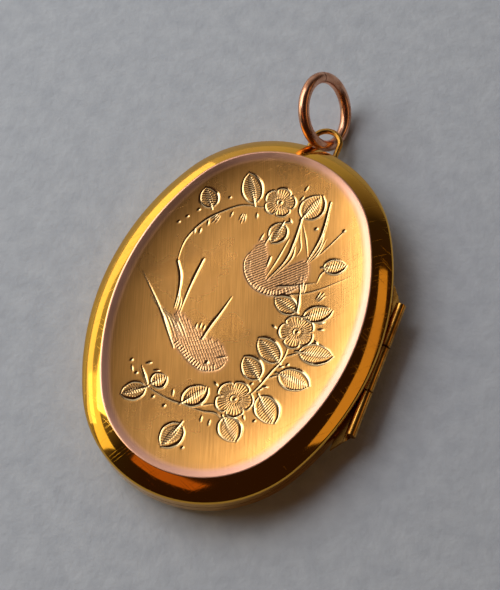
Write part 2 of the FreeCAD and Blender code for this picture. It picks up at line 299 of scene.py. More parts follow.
def stamp(a, b, half, depth, layer=depths):
    """Presses one short V-shaped stretch of a cut into a map."""
    low = Vector((min(a.x, b.x), min(a.y, b.y))) - Vector((half, half))
    high = Vector((max(a.x, b.x), max(a.y, b.y))) + Vector((half, half))
    left = max(int((low.x + REACH_X) / FINE), 0)
    right = min(int((high.x + REACH_X) / FINE) + 2, COLUMNS)
    bottom = max(int((low.y + REACH_Y) / FINE), 0)
    top = min(int((high.y + REACH_Y) / FINE) + 2, ROWS)
    if right <= left or top <= bottom:
        return
    x = np.arange(left, right) * FINE - REACH_X - a.x
    y = (np.arange(bottom, top) * FINE - REACH_Y - a.y)[:, None]
    run = b - a
    t = np.clip((x * run.x + y * run.y) / max(run.length_squared, 1e-9), 0, 1)
    off = np.hypot(x - t * run.x, y - t * run.y)
    groove = depth * np.clip(1 - off / half, 0, 1)
    window = layer[bottom:top, left:right]
    np.maximum(window, groove, out=window)


def dot(place, size=0.34):
    """A round prick of the graver."""
    here = Vector(place)
    stamp(here, here + Vector((0.05, 0.05)), size / 2, 0.1)


def leaf(base, tip, width):
    """A round rose leaf: a bold crescent, a finer one, a rib and cross hatching."""
    base = Vector(base)
    tip = Vector(tip)
    run = tip - base
    side = Vector((run.y, -run.x)).normalized() * width / 2
    if side.x < 0:
        side = -side
    lines = max(int(run.length / 0.28), 5)
    for number in range(lines):
        along = 0.12 + 0.74 * number / (lines - 1)
        spread = math.sin(math.pi * along**0.85) * 0.8
        start = base + run * (along + 0.1) - side * spread
        end = base + run * (along - 0.08) + side * spread
        cut([start, end], 0.2, 0.06, steps=3)
    bold = [base, base + run * 0.2 + side * 0.8, base + run * 0.55 + side * 1.05,
            base + run * 0.85 + side * 0.62, tip]
    fine = [base, base + run * 0.15 - side * 0.7, base + run * 0.45 - side * 1.05,
            base + run * 0.8 - side * 0.7, tip]
    cut(bold, 0.46, 0.11, swell=0.55)
    cut(fine, 0.34, 0.085, swell=0.4)
    cut([base - run * 0.08, base + run * 0.55 - side * 0.05], 0.3, 0.08, swell=0.25)


def rose(place, size, turned=0.0):
    """A flat wild rose: five notched petals, a fringe of fine radial cuts and an eye."""
    middle = Vector(place)
    petals = 5
    ticks = int(size * 18)
    for number in range(ticks):
        angle = turned + math.tau * number / ticks
        way = Vector((math.cos(angle), math.sin(angle)))
        wave = abs(math.cos((angle - turned) * petals / 2))
        inner = 0.3 + 0.1 * (number % 2)
        outer = 0.66 + 0.22 * wave
        cut([middle + way * size * inner, middle + way * size * outer], 0.18, 0.055, steps=2)
    for number in range(petals):
        mid = turned + math.tau * number / petals
        points = []
        for step, reach in ((-0.5, 0.62), (-0.38, 0.93), (0.0, 1.02), (0.38, 0.93), (0.5, 0.62)):
            angle = mid + step * math.tau / petals
            points.append(middle + Vector((math.cos(angle), math.sin(angle))) * size * reach)
        cut(points, 0.34, 0.085, steps=4)
    ring = [middle + Vector((math.cos(angle), math.sin(angle))) * size * 0.2
            for angle in np.linspace(0, 6.0, 9)]
    cut(ring, 0.24, 0.06, steps=3)
    dot(middle + Vector((0.06, -0.04)), 0.36)


def bud(place, way):
    """A small hanging bud of three short cuts."""
    here = Vector(place)
    fall = Vector((math.cos(way), math.sin(way))) * 1.1
    side = Vector((-fall.y, fall.x)) * 0.28
    for offset, length in ((-1, 0.75), (0, 1.0), (1, 0.8)):
        cut([here + side * offset * 0.5, here + fall * length + side * offset], 0.24, 0.1)


def hatch(outline, angle, spacing, dash, width=0.17, depth=0.05, steps=2):
    """Fills a closed outline with rows of short dashes at one angle."""
    edge = curve_through(outline + [outline[0]], 6)
    way = Vector((math.cos(angle), math.sin(angle)))
    across = Vector((-way.y, way.x))
    rows = [point.dot(across) for point in edge]
    row = min(rows) + spacing / 2
    number = 0
    while row < max(rows):
        hits = []
        for a, b in zip(edge, edge[1:]):
            low, high = a.dot(across) - row, b.dot(across) - row
            if low * high < 0:
                hits.append(a.lerp(b, low / (low - high)).dot(way))
        hits.sort()
        for start, end in zip(hits[::2], hits[1::2]):
            place = start + (number % 2) * dash / 2
            while place < end:
                stop = min(place + dash * 0.8, end)
                head = way * place + across * row
                tail = way * stop + across * row
                cut([head, tail], width, depth, steps=steps)
                stamp(head, tail, spacing * 1.6, 1.0, rubbed)
                place += dash
        row += spacing
        number += 1


def edge_ticks(points, length, inward, spacing=0.26):
    """Short strokes side by side along a line, as at the edge of a breast."""
    line = curve_through(points, 10)
    travelled = 0
    for a, b in zip(line, line[1:]):
        travelled += (b - a).length
        if travelled > spacing:
            travelled = 0
            way = Vector((-(b - a).y, (b - a).x)).normalized() * inward
            cut([b, b + way * length], 0.2, 0.06, steps=2)


def upper_swallow():
    """The swallow at the upper right, seen from its side with its wings up."""
    body = [(-0.7, 8.1), (-0.9, 7.0), (-1.4, 5.5), (-1.0, 4.2), (0.0, 3.1), (1.1, 2.6),
            (2.3, 2.5), (3.3, 2.8), (4.3, 3.6), (5.1, 4.7), (5.2, 5.8), (4.8, 7.0),
            (4.1, 7.1), (3.3, 6.3), (2.3, 5.0), (1.6, 4.1), (1.1, 4.7), (0.8, 5.9),
            (0.3, 7.1), (-0.2, 7.9)]
    hatch(body, 0.75, 0.25, 0.5)
    cut(body[1:10], 0.2, 0.08)
    edge_ticks(body[2:8], 0.55, 1)
    edge_ticks(body[7:11], 0.6, 1)
    cut([(-0.8, 7.8), (-0.65, 8.8)], 0.26)
    cut([(-0.15, 7.5), (0.1, 9.2)], 0.3)
    cut([(1.0, 5.3), (0.95, 6.5)], 0.36, swell=0.7)
    feathers = [
        ([(1.3, 4.2), (1.7, 6.4), (2.0, 9.0)], 0.24, 0.6),
        ([(1.5, 3.9), (2.5, 6.6), (2.6, 9.0), (2.4, 11.7)], 0.44, 0.65),
        ([(1.9, 4.3), (3.0, 6.9), (2.9, 8.4)], 0.26, 0.6),
        ([(2.5, 11.2), (3.0, 9.6), (3.5, 8.4), (3.4, 7.4)], 0.2, 0.5),
        ([(2.6, 11.2), (3.7, 9.4), (4.7, 7.3)], 0.2, 0.5),
        ([(4.6, 7.1), (5.0, 10.4), (4.6, 14.1)], 0.5, 0.6),
        ([(4.7, 7.0), (5.3, 9.2), (5.0, 11.6)], 0.26, 0.5),
        ([(4.9, 7.2), (5.4, 8.4), (5.6, 10.2)], 0.24, 0.5),
        ([(4.8, 7.1), (5.8, 8.8), (7.0, 11.4)], 0.22, 0.8),
    ]
    for points, width, swell in feathers:
        cut(points, width, swell=swell)
    cut([(2.9, 2.7), (6.1, 4.1), (9.4, 6.9)], 0.2, swell=0.3)
    cut([(2.8, 3.7), (4.1, 4.2), (6.4, 5.3)], 0.34, swell=0.2)
    dot((7.0, 11.5), 0.4)
    dot((4.2, 10.9), 0.42)
    dot((4.9, 9.4), 0.3)


def lower_swallow():
    """The swallow at the lower left, which dives to the right with its tail up."""
    body = [(-5.9, -2.1), (-4.9, -2.3), (-3.9, -3.0), (-2.8, -3.3), (-1.9, -3.8), (-0.4, -3.9),
            (0.7, -4.7), (1.0, -5.6), (0.5, -6.6), (-0.9, -7.2), (-2.4, -6.8), (-3.8, -6.0),
            (-4.7, -5.5), (-5.3, -4.1)]
    hatch(body, -0.85, 0.25, 0.5)
    cut(body[7:13], 0.18, 0.07)
    edge_ticks(body[8:13], 0.5, -1)
    feathers = [
        ([(-10.6, 0.6), (-9.0, -0.9), (-7.2, -2.7), (-5.7, -4.5), (-4.5, -5.9)], 0.36, 0.6),
        ([(-8.8, -1.5), (-6.8, -3.0), (-5.1, -4.9)], 0.28, 0.5),
        ([(-8.3, -1.7), (-6.4, -3.0), (-4.7, -4.9)], 0.26, 0.5),
        ([(-7.0, -2.3), (-5.6, -3.4), (-4.3, -4.8)], 0.26, 0.5),
        ([(-6.3, -2.6), (-5.1, -3.5), (-4.0, -4.7)], 0.26, 0.5),
        ([(-5.8, -2.5), (-4.7, -3.4), (-3.6, -4.6)], 0.26, 0.5),
        ([(-7.8, 3.0), (-6.9, 1.6), (-6.4, 0.0), (-6.1, -1.9)], 0.46, 0.3),
        ([(-6.5, 0.5), (-6.1, -0.8), (-5.9, -2.0)], 0.28, 0.5),
        ([(-6.0, -0.5), (-5.7, -1.3), (-5.6, -2.1)], 0.22, 0.5),
        ([(-5.4, 4.0), (-5.5, 1.9), (-5.5, 0.0), (-5.4, -2.1)], 0.4, 0.2),
        ([(-1.1, 1.1), (-1.5, -0.8), (-1.9, -2.4), (-2.2, -4.1)], 0.46, 0.65),
    ]
    for points, width, swell in feathers:
        cut(points, width, swell=swell)
    for x, y in ((-3.3, -2.7), (-2.9, -2.5), (-2.5, -2.6)):
        cut([(x, y), (x + 0.05, y - 0.6)], 0.24)
    cut([(0.0, -5.5), (0.9, -5.0)], 0.26)
    dot((-0.8, -6.3), 0.46)


def rose_spray():
    """The spray of wild roses round the lower right, and its branch at the top."""
    stems = [
        ([(-7.8, 2.8), (-8.0, 4.6), (-7.8, 6.1), (-7.0, 8.0), (-5.8, 9.5), (-4.0, 11.0),
          (-1.8, 11.5)], 0.3),
        ([(2.4, 11.6), (2.5, 10.4)], 0.34),
        ([(0.7, 10.5), (1.6, 10.9)], 0.3),
        ([(5.1, 4.0), (5.5, 2.6), (5.7, 1.6)], 0.42),
        ([(6.2, -1.8), (6.2, -3.4), (5.6, -5.0), (5.0, -6.9), (4.5, -8.0)], 0.32),
        ([(7.6, -2.2), (6.2, -3.2)], 0.24),
        ([(6.5, -5.1), (5.3, -5.9)], 0.24),
        ([(-6.9, -9.0), (-5.3, -10.5), (-3.5, -11.0), (-1.8, -11.1), (0.1, -10.7),
          (1.6, -10.0)], 0.26),
        ([(-6.7, -8.8), (-5.4, -10.3)], 0.4),
        ([(-0.6, -11.2), (0.8, -11.1), (2.2, -10.9), (3.4, -11.8)], 0.26),
        ([(6.4, 5.3), (6.5, 6.4), (7.1, 7.3)], 0.24),
    ]
    for points, width in stems:
        cut(points, width, swell=0.55)
    leaves = [
        ((-2.8, 11.6), (-4.6, 14.7), 2.0),
        ((-6.8, 9.7), (-8.2, 11.6), 1.8),
        ((2.4, 11.6), (3.6, 14.6), 2.3),
        ((0.8, 10.5), (0.5, 8.0), 1.8),
        ((6.4, 7.1), (8.6, 8.0), 1.5),
        ((5.6, 1.7), (3.0, 2.5), 1.7),
        ((6.4, 1.4), (9.0, 2.9), 1.6),
        ((7.3, -2.2), (10.8, -1.7), 2.0),
        ((5.9, -3.9), (3.1, -2.1), 1.9),
        ((4.7, -6.2), (2.5, -4.4), 1.9),
        ((6.3, -5.0), (9.7, -5.3), 2.1),
        ((5.4, -7.8), (7.9, -10.0), 2.2),
        ((-1.5, -11.0), (0.4, -8.7), 1.9),
        ((2.9, -11.0), (5.1, -12.9), 2.1),
        ((-0.7, -13.0), (-1.5, -15.9), 2.1),
        ((-5.4, -10.7), (-7.4, -12.3), 1.7),
        ((-5.1, -10.2), (-3.9, -9.0), 1.5),
    ]
    for base, tip, width in leaves:
        leaf(base, tip, width)
    rose((-0.4, 12.6), 1.6, 0.3)
    rose((6.4, -0.3), 1.75, 0.9)
    rose((3.2, -8.9), 1.85, 0.1)
    bud((-5.8, 9.2), -1.9)
    bud((-3.4, 10.2), -1.5)
    bud((5.4, 3.9), 1.9)
    bud((7.1, 3.5), 1.2)
    ticks = [
        (-7.6, 7.0, -1.2), (-7.0, 7.2, -1.4), (-6.6, 8.3, -1.3), (-4.6, 10.0, -1.6),
        (-2.2, 10.7, -1.2), (1.5, 13.4, 1.2), (1.6, 14.6, 1.3), (1.2, 11.2, -0.8),
        (8.3, 0.6, 0.2), (8.4, -0.6, -0.5), (8.2, 1.2, 0.6), (4.4, -0.6, 2.8),
        (5.0, -7.4, 0.8), (1.2, -8.2, 2.6), (5.1, -9.0, -0.3), (4.6, -10.1, -0.9),
        (-6.4, -8.4, 0.5), (-5.4, -8.8, 0.3), (-7.3, -9.6, 2.2), (-2.6, -10.6, 1.9),
        (0.9, -11.6, -1.4), (1.8, -11.7, -1.4), (6.0, -4.4, 0.4), (5.3, -6.8, 0.2),
    ]
    for x, y, way in ticks:
        cut([(x, y), (x + 0.6 * math.cos(way), y + 0.6 * math.sin(way))], 0.3, 0.1)
    pricks = [(-9.4, 7.0), (-8.8, 7.9), (-8.0, 9.0), (-5.5, 11.4), (-7.9, -8.6), (0.4, -15.3),
              (5.9, -10.4), (-3.0, -11.9), (-6.9, -9.7), (4.2, -6.9), (6.8, -3.9), (-4.4, -11.4),
              (0.3, -10.1)]
    for place in pricks:
        dot(place)


def engrave(piece):
    """Divides the panel finely where it is cut, then presses the cuts into it."""
    upper_swallow()
    lower_swallow()
    rose_spray()
    shell = bmesh.new()
    shell.from_mesh(piece.data)
    panel_low = SEAM + HALF_HEIGHT - PANEL_DROP - DISH - 2 * UNEVEN
    for _ in range(DIVISIONS):
        near = []
        for face in shell.faces:
            middle = face.calc_center_median()
            if middle.z < panel_low or not on_panel(middle):
                continue
            size = math.sqrt(face.calc_area()) / MM * LOOK_ROUND
            if window_depth(middle, size) > SHALLOWEST:
                near.append(face)
        edges = list({edge for face in near for edge in face.edges})
        bmesh.ops.subdivide_edges(shell, edges=edges, cuts=1, use_grid_fill=True)
    cuts = shell.verts.layers.float.new("cut")
    rubs = shell.verts.layers.float.new("rubbed")
    for vert in shell.verts:
        if vert.co.z < panel_low or not on_panel(vert.co):
            continue
        deep = depth_at(vert.co)
        vert[cuts] = min(deep / BRIGHT_DEPTH, 1)
        vert[rubs] = min(RUB_GAIN * depth_at(vert.co, rubbed), 1)
        # the dish is laid through the new points too, or it would stay in flat facets
        vert.co.z = SEAM + panel_height(vert.co)
        vert.co.z -= knocked(vert.co) + deep * MM
    shell.to_mesh(piece.data)
    shell.free()


def on_panel(point):
    """Whether a point is inside the panel's rim."""
    return inset_of(point) > PANEL_INSET + PANEL_MARGIN and point.z > SEAM


def window_depth(point, size):
    """The deepest cut within a square of this half size, in mm, about a point."""
    column = int((point.x / MM + REACH_X) / FINE)
    row = int((point.y / MM + REACH_Y) / FINE)
    reach = max(int(size / FINE), 1)
    window = depths[max(row - reach, 0):row + reach + 1,
                    max(column - reach, 0):column + reach + 1]
    return float(window.max()) if window.size else 0.0


def depth_at(point, layer=depths):
    """A map's value at a point, read between its four nearest cells: depths are in mm."""
    x = (point.x / MM + REACH_X) / FINE
    y = (point.y / MM + REACH_Y) / FINE
    column = min(max(int(x), 0), COLUMNS - 2)
    row = min(max(int(y), 0), ROWS - 2)
    x -= column
    y -= row
    below = layer[row, column] * (1 - x) + layer[row, column + 1] * x
    above = layer[row + 1, column] * (1 - x) + layer[row + 1, column + 1] * x
    return float(below * (1 - y) + above * y)


CREST_INSET = 2.08
WORN_END = 2.65
SATIN_START = 2.15


def ramp(value, start, length):
    """How far a value has risen from a start over a length, from 0 to 1."""
    return min(max((value - start) / length, 0), 1)


def mark_finish(piece):
    """Stores how worn and how satin each point of a cover is, for its material."""
    worn = []
    satin = []
    for vert in piece.data.vertices:
        inset = inset_of(vert.co) / MM
        worn.append(min(ramp(inset, CREST_INSET, 0.1), 1 - ramp(inset, WORN_END, 0.6)))
        satin.append(ramp(inset, SATIN_START, 0.3))
    for name, values in (("worn", worn), ("satin", satin)):
        layer = piece.data.attributes.new(name, "FLOAT", "POINT")
        layer.data.foreach_set("value", values)


# ------------------------------------------------------------ material of the covers
# Rolled gold on base metal: a warm mirror outside, copper red where the crest has rubbed
# through, and a soft brushed sheen on the panel, with the graver's cuts in it painted pale as
# a highlight where their polished sides catch the light.
def linear(colour):
    """An sRGB hex colour as the linear values that a shader takes."""
    levels = [int(colour[place:place + 2], 16) / 255 for place in (1, 3, 5)]
    return tuple(level / 12.92 if level <= 0.04045 else ((level + 0.055) / 1.055) ** 2.4
                 for level in levels) + (1,)


def add_node(material, kind, inputs=None, **settings):
    """Adds one node: its settings, then its sockets' values, or links from other nodes."""
    made = material.node_tree.nodes.new(kind)
    for name, value in settings.items():
        setattr(made, name, value)
    for name, value in (inputs or {}).items():
        if isinstance(value, bpy.types.Node):
            value = value.outputs[0]
        if isinstance(value, bpy.types.NodeSocket):
            material.node_tree.links.new(value, made.inputs[name])
        else:
            made.inputs[name].default_value = value
    return made


def new_material(name):
    """An empty node material."""
    material = bpy.data.materials.new(name)
    material.use_nodes = True
    material.node_tree.nodes.clear()
    return material


POLISHED = linear("#f0b440")
SATIN = linear("#eaad62")
GRAIN = linear("#b97f3c")
HANDLED = linear("#cf9146")
# a painted highlight: the pale colour laid in the cuts for the glint of their polished sides
PAINTED_CUT_GLINT = linear("#fbe2b0")
WORN = linear("#e8b098")
MIRROR_ROUGH = 0.06
SATIN_ROUGH = 0.27
WORN_ROUGH = 0.33

rolled_gold = new_material("rolled_gold_polished")
place = add_node(rolled_gold, "ShaderNodeTexCoord").outputs["Object"]
worn = add_node(rolled_gold, "ShaderNodeAttribute", attribute_name="worn").outputs["Fac"]
satin = add_node(rolled_gold, "ShaderNodeAttribute", attribute_name="satin").outputs["Fac"]
graver = add_node(rolled_gold, "ShaderNodeAttribute", attribute_name="cut").outputs["Fac"]
rubs = add_node(rolled_gold, "ShaderNodeAttribute", attribute_name="rubbed").outputs["Fac"]
# the grain runs up the panel: streaks 0.12 mm wide and some 4 mm long, coarser than fine
# brushing leaves, so that they show
grain_map = add_node(rolled_gold, "ShaderNodeMapping",
                     {"Vector": place, "Rotation": (0, 0, 0.36),
                      "Scale": (0.12 * MM, 4 * MM, 4 * MM)},
                     vector_type="TEXTURE")
grain = add_node(rolled_gold, "ShaderNodeTexNoise",
                 {"Vector": grain_map, "Scale": 1.0, "Detail": 3.0})
# scattered hair scratches across it, 0.06 mm wide and up to 5 mm long
marks = []
for turn in (-0.75, 1.2):
    scratch_map = add_node(rolled_gold, "ShaderNodeMapping",
                           {"Vector": place, "Rotation": (0, 0, turn),
                            "Scale": (0.06 * MM, 5 * MM, 2 * MM)},
                           vector_type="TEXTURE")
    scratch = add_node(rolled_gold, "ShaderNodeTexNoise",
                       {"Vector": scratch_map, "Scale": 1.0, "Detail": 0.0})
    marks.append(add_node(rolled_gold, "ShaderNodeMapRange",
                          {0: scratch, 1: 0.75, 2: 0.83, 3: 0.0, 4: 0.5}))
scratches = add_node(rolled_gold, "ShaderNodeMath", {0: marks[0], 1: marks[1]}, operation="MAXIMUM")
# slow patches, 6 mm across, where the gold was handled
patch = add_node(rolled_gold, "ShaderNodeTexNoise",
                 {"Vector": place, "Scale": 160.0, "Detail": 4.0})

# colour: polished or satin, then patches, grain, a painted highlight in the cuts, worn places
body = add_node(rolled_gold, "ShaderNodeMix", {0: satin, 6: POLISHED, 7: SATIN}, data_type="RGBA")
handled = add_node(rolled_gold, "ShaderNodeMapRange", {0: patch, 1: 0.35, 2: 0.7, 3: 0.0, 4: 0.3})
streaks = add_node(rolled_gold, "ShaderNodeMapRange", {0: grain, 1: 0.35, 2: 0.65, 3: 0.0, 4: 0.35})
streaks = add_node(rolled_gold, "ShaderNodeMath", {0: streaks, 1: satin}, operation="MULTIPLY")
# painted highlight: the cuts are painted pale for the glint of their sides, besides their mirror finish
painted_cut_glint = add_node(rolled_gold, "ShaderNodeMath", {0: graver, 1: 0.85}, operation="MULTIPLY")
pinked = add_node(rolled_gold, "ShaderNodeMath", {0: rubs, 1: 0.25}, operation="MULTIPLY")
ragged = add_node(rolled_gold, "ShaderNodeMapRange", {0: patch, 1: 0.3, 2: 0.7, 3: 0.75, 4: 1.2})
ragged = add_node(rolled_gold, "ShaderNodeMath", {0: worn, 1: ragged}, operation="MULTIPLY")
tints = ((handled, HANDLED), (streaks, GRAIN), (painted_cut_glint, PAINTED_CUT_GLINT), (pinked, WORN), (ragged, WORN))
for amount, tint in tints:
    body = add_node(rolled_gold, "ShaderNodeMix", {0: amount, 6: body.outputs[2], 7: tint},
                    data_type="RGBA")

# finish: mirror, satin on the panel and the crest, bright in the cuts, duller in patches
roughness = MIRROR_ROUGH
for amount, finish in ((satin, SATIN_ROUGH), (worn, WORN_ROUGH), (graver, MIRROR_ROUGH * 1.6)):
    roughness = add_node(rolled_gold, "ShaderNodeMix", {0: amount, 2: roughness, 3: finish})
dulled = add_node(rolled_gold, "ShaderNodeMapRange", {0: patch, 1: 0.3, 2: 0.75, 3: -0.02, 4: 0.05})
roughness = add_node(rolled_gold, "ShaderNodeMath", {0: roughness, 1: dulled})
lines = add_node(rolled_gold, "ShaderNodeMath", {0: grain, 1: satin}, operation="MULTIPLY")
lines = add_node(rolled_gold, "ShaderNodeMath", {0: lines, 1: scratches}, operation="SUBTRACT")
bump = add_node(rolled_gold, "ShaderNodeBump",
                {"Height": lines, "Strength": 0.35, "Distance": 0.014 * MM})
shader = add_node(rolled_gold, "ShaderNodeBsdfPrincipled",
                  {"Base Color": body.outputs[2], "Metallic": 1.0,
                   "Roughness": roughness, "Normal": bump})
add_node(rolled_gold, "ShaderNodeOutputMaterial", {"Surface": shader})

front_cover = make_cover("front_cover_engraved", 1, FRONT_CELLS)
engrave(front_cover)
mark_finish(front_cover)
back_cover = make_cover("back_cover_plain", -1, BACK_CELLS)
mark_finish(back_cover)
for cover, half in ((front_cover, "front"), (back_cover, "back")):
    cover.data.materials.append(rolled_gold)
    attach(cover, f"{half}_half")
    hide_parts(f"{half}_cover")


# ------------------------------------------------------------ jump ring and its loop
# The ring is round rose gold wire turned up and closed at a butt joint.  The loop is finer
# yellow gold wire bent to a U, each leg soldered to the back half in a small foot.
def gold_wire(name, colour, dull, rough):
    """Drawn and polished gold wire: fine nicks and rub marks, and a duller tarnish in patches."""
    material = new_material(name)
    place = add_node(material, "ShaderNodeTexCoord").outputs["Object"]
    # tarnish in patches of about 1.4 mm, nicks and rub marks of about 0.17 mm
    patch = add_node(material, "ShaderNodeTexNoise",
                     {"Vector": place, "Scale": 700.0, "Detail": 5.0})
    fine = add_node(material, "ShaderNodeTexNoise",
                    {"Vector": place, "Scale": 6000.0, "Detail": 2.0})
    tarnish = add_node(material, "ShaderNodeMapRange", {0: patch, 1: 0.42, 2: 0.68})
    body = add_node(material, "ShaderNodeMix", {0: tarnish, 6: linear(colour), 7: linear(dull)},
                    data_type="RGBA")
    roughness = add_node(material, "ShaderNodeMapRange",
                         {0: patch, 1: 0.3, 2: 0.8, 3: rough, 4: rough + 0.14})
    bump = add_node(material, "ShaderNodeBump",
                    {"Height": fine, "Strength": 0.12, "Distance": 0.01 * MM})
    shader = add_node(material, "ShaderNodeBsdfPrincipled",
                      {"Base Color": body.outputs[2], "Metallic": 1.0,
                       "Roughness": roughness, "Normal": bump})
    add_node(material, "ShaderNodeOutputMaterial", {"Surface": shader})
    return material


rose_wire = gold_wire("rose_gold_wire", "#e6ae8e", "#bd7d58", 0.2)
yellow_wire = gold_wire("yellow_gold_wire", "#dcab55", "#b98334", 0.16)

ring_hole = [mount for mount in frame["record"]["mounts"] if mount["name"] == "jump_ring_hole"][0]
RING_WIRE = 0.596 * MM
RING_RADIUS = 3.62 * MM
RING_SLIT = math.radians(1.4)
JOINT_TURN = math.radians(130.7)


def make_jump_ring():
    """A wire's round end is spun almost full circle, and its two ends are closed."""
    wire = bmesh.new()
    start = Matrix.Translation((RING_RADIUS, 0, 0)) @ Matrix.Rotation(math.pi / 2, 4, "X")
    bmesh.ops.create_circle(wire, cap_ends=True, segments=40, radius=RING_WIRE, matrix=start)
    bmesh.ops.spin(wire, geom=wire.faces[:], cent=(0, 0, 0), axis=(0, 0, 1),
                   angle=math.tau - RING_SLIT, steps=160)
    lean = Vector((0, 0, 1)).rotation_difference(Vector(ring_hole["axis"])).to_matrix().to_4x4()
    # the joint is turned to the ring's upper outer side
    joint = Matrix.Rotation(JOINT_TURN + RING_SLIT, 4, "Z")
    place = Matrix.Translation(ring_hole["pos_m"]) @ lean @ joint
    bmesh.ops.transform(wire, matrix=place, verts=wire.verts)
    return finished("jump_ring_wire", wire)


jump_ring = make_jump_ring()
jump_ring.data.materials.append(rose_wire)
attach(jump_ring, "hanging_ring")
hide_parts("jump_ring")

LOOP_LOW, LOOP_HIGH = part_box("ring_loop")
LOOP_WIRE = 0.31 * MM
LOOP_RADIUS = 1.5 * MM
LEG_DEPTH = 0.35 * MM
MERGE = 0.001 * MM
LOOP_X = (LOOP_LOW[0] + LOOP_HIGH[0]) / 2
LOOP_Z = (LOOP_LOW[2] + LOOP_HIGH[2]) / 2


def make_loop():
    """The wire's section runs up one leg, round the bend and down the other."""
    wire = bmesh.new()
    root = HALF_LENGTH - LEG_DEPTH
    bend = LOOP_HIGH[1] - LOOP_WIRE - LOOP_RADIUS
    start = Matrix.Translation((LOOP_X + LOOP_RADIUS, bend, LOOP_Z))
    start = start @ Matrix.Rotation(math.pi / 2, 4, "X")
    bmesh.ops.create_circle(wire, cap_ends=True, segments=28, radius=LOOP_WIRE, matrix=start)
    bmesh.ops.spin(wire, geom=wire.faces[:], cent=(LOOP_X, bend, LOOP_Z), axis=(0, 0, 1),
                   angle=math.pi, steps=40)
    # legs, then a foot that flares out to the solder at the wall: place along the leg and
    # radius, in mm
    for side in (1, -1):
        ends = [face for face in wire.faces
                if len(face.verts) > 4 and (face.calc_center_median().x - LOOP_X) * side > 0]
        middle = Vector((LOOP_X + side * LOOP_RADIUS, 0, LOOP_Z))
        for level, radius in ((0.95, 0.31), (0.75, 0.34), (0.55, 0.42), (0.42, 0.48), (0.0, 0.5)):
            made = bmesh.ops.extrude_discrete_faces(wire, faces=ends)["faces"]
            ends = made
            for vert in made[0].verts:
                out = Vector((vert.co.x - middle.x, 0, vert.co.z - middle.z)).normalized()
                vert.co = Vector((middle.x, root + level * MM, middle.z)) + out * radius * MM
    bmesh.ops.remove_doubles(wire, verts=wire.verts, dist=MERGE)
    return finished("ring_loop_wire", wire)


ring_loop = make_loop()
ring_loop.data.materials.append(yellow_wire)
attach(ring_loop, "back_half")
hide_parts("ring_loop")


# ------------------------------------------------------------ hinge
# Three short lengths of drawn gold tube on a wire pin, soldered to the plates let into the
# edges of the case.  The tubes are satin from the file, and dull gold lies on them in patches.
hinge_gold = gold_wire("drawn_gold_tube", "#cf9a48", "#9a6a2c", 0.2)


def make_tube(name, node, bore):
    """A tube between a node's two ends, its rims a little eased."""
    low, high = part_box(node)
    tube = bmesh.new()
    outer = (high[2] - low[2]) / 2
    ease = 0.05 * MM
    profile = [(bore, low[1]), (outer - ease, low[1]), (outer, low[1] + ease),
               (outer, high[1] - ease), (outer - ease, high[1]), (bore, high[1])]
    line = [tube.verts.new((AXIS_X + out, along, SEAM)) for out, along in profile]
    edges = [tube.edges.new(pair) for pair in zip(line, line[1:] + line[:1])]
    bmesh.ops.spin(tube, geom=line + edges, cent=(AXIS_X, 0, SEAM), axis=(0, 1, 0),
                   angle=math.tau, steps=40, use_merge=True)
    return finished(name, tube, 30)


PIN_GAP = 0.03 * MM
PIN_RADIUS = (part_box("hinge_pin")[1][2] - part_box("hinge_pin")[0][2]) / 2
for part, half in (("lower", "back"), ("middle", "front"), ("upper", "back")):
    tube = make_tube(f"hinge_tube_{part}", f"hinge_knuckle_{part}", PIN_RADIUS + PIN_GAP)
    tube.data.materials.append(hinge_gold)
    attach(tube, f"{half}_half")
    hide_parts(f"hinge_knuckle_{part}")
for part in ("hinge_bearer_back", "hinge_bearer_front", "hinge_pin"):
    frame["nodes"][part].data.materials.clear()
    frame["nodes"][part].data.materials.append(hinge_gold)


# ------------------------------------------------------------ inner frames and bezels
# Each half has a soldered rim with a well, and in the well a thin sprung bezel that holds
# the picture in.  The back rim carries the lip that snaps into the front.
frame_gold = gold_wire("satin_gold_rim", "#d9ab5c", "#b98a41", 0.24)


OVAL_STEPS = 192


def make_band(name, section, side):
    """A closed oval band: a section's ring of points, repeated round the oval."""
    band = bmesh.new()
    turns = band.verts.layers.float.new("turn")
    bmesh.ops.create_circle(band, segments=OVAL_STEPS, radius=1)
    for vert in band.verts:
        vert[turns] = math.atan2(HALF_WIDTH * vert.co.y, HALF_LENGTH * vert.co.x)
        vert.co = oval_point(vert[turns], section[0][0], SEAM + side * section[0][1])
    grow_rings(band, band.edges[:], turns, section[1:] + section[:1], side)
    bmesh.ops.remove_doubles(band, verts=band.verts, dist=MERGE)
    return finished(name, band, 30)


FRAME_SECTIONS = {
    "front": [(0.45, 0.53, 0.0), (0.45, 0.85, 0.0), (1.95, 0.85, 0.0), (1.95, 1.32, 0.0),
              (3.12, 1.32, 0.05), (3.12, 1.0, 0.05), (2.27, 1.0, 0.0), (2.27, 0.03, 0.05),
              (1.95, 0.03, 0.05), (1.95, 0.53, 0.0)],
    "back": [(0.45, 0.35, 0.0), (1.95, 0.35, 0.0), (1.95, 1.32, 0.0), (3.12, 1.32, 0.05),
             (3.12, 1.0, 0.05), (2.27, 1.0, 0.0), (2.27, 0.03, 0.06), (0.45, 0.03, 0.0)],
}
BEZEL_SECTION = [(2.31, 0.34, 0.0), (3.11, 0.34, 0.03), (3.11, 0.2, 0.05), (2.9, 0.07, 0.05),
                 (2.7, 0.03, 0.05), (2.31, 0.03, 0.05)]
LIP_STOP_MIDDLE = Vector((18, 0, 3)) * MM
LIP_STOP_SIZE = Vector((20, 60, 6)) * MM
LIP_SECTION = [(0.51, 0.05, 0.0), (0.76, 0.05, 0.0), (0.76, -0.36, 0.05), (0.66, -0.42, 0.05),
               (0.53, -0.37, 0.05)]
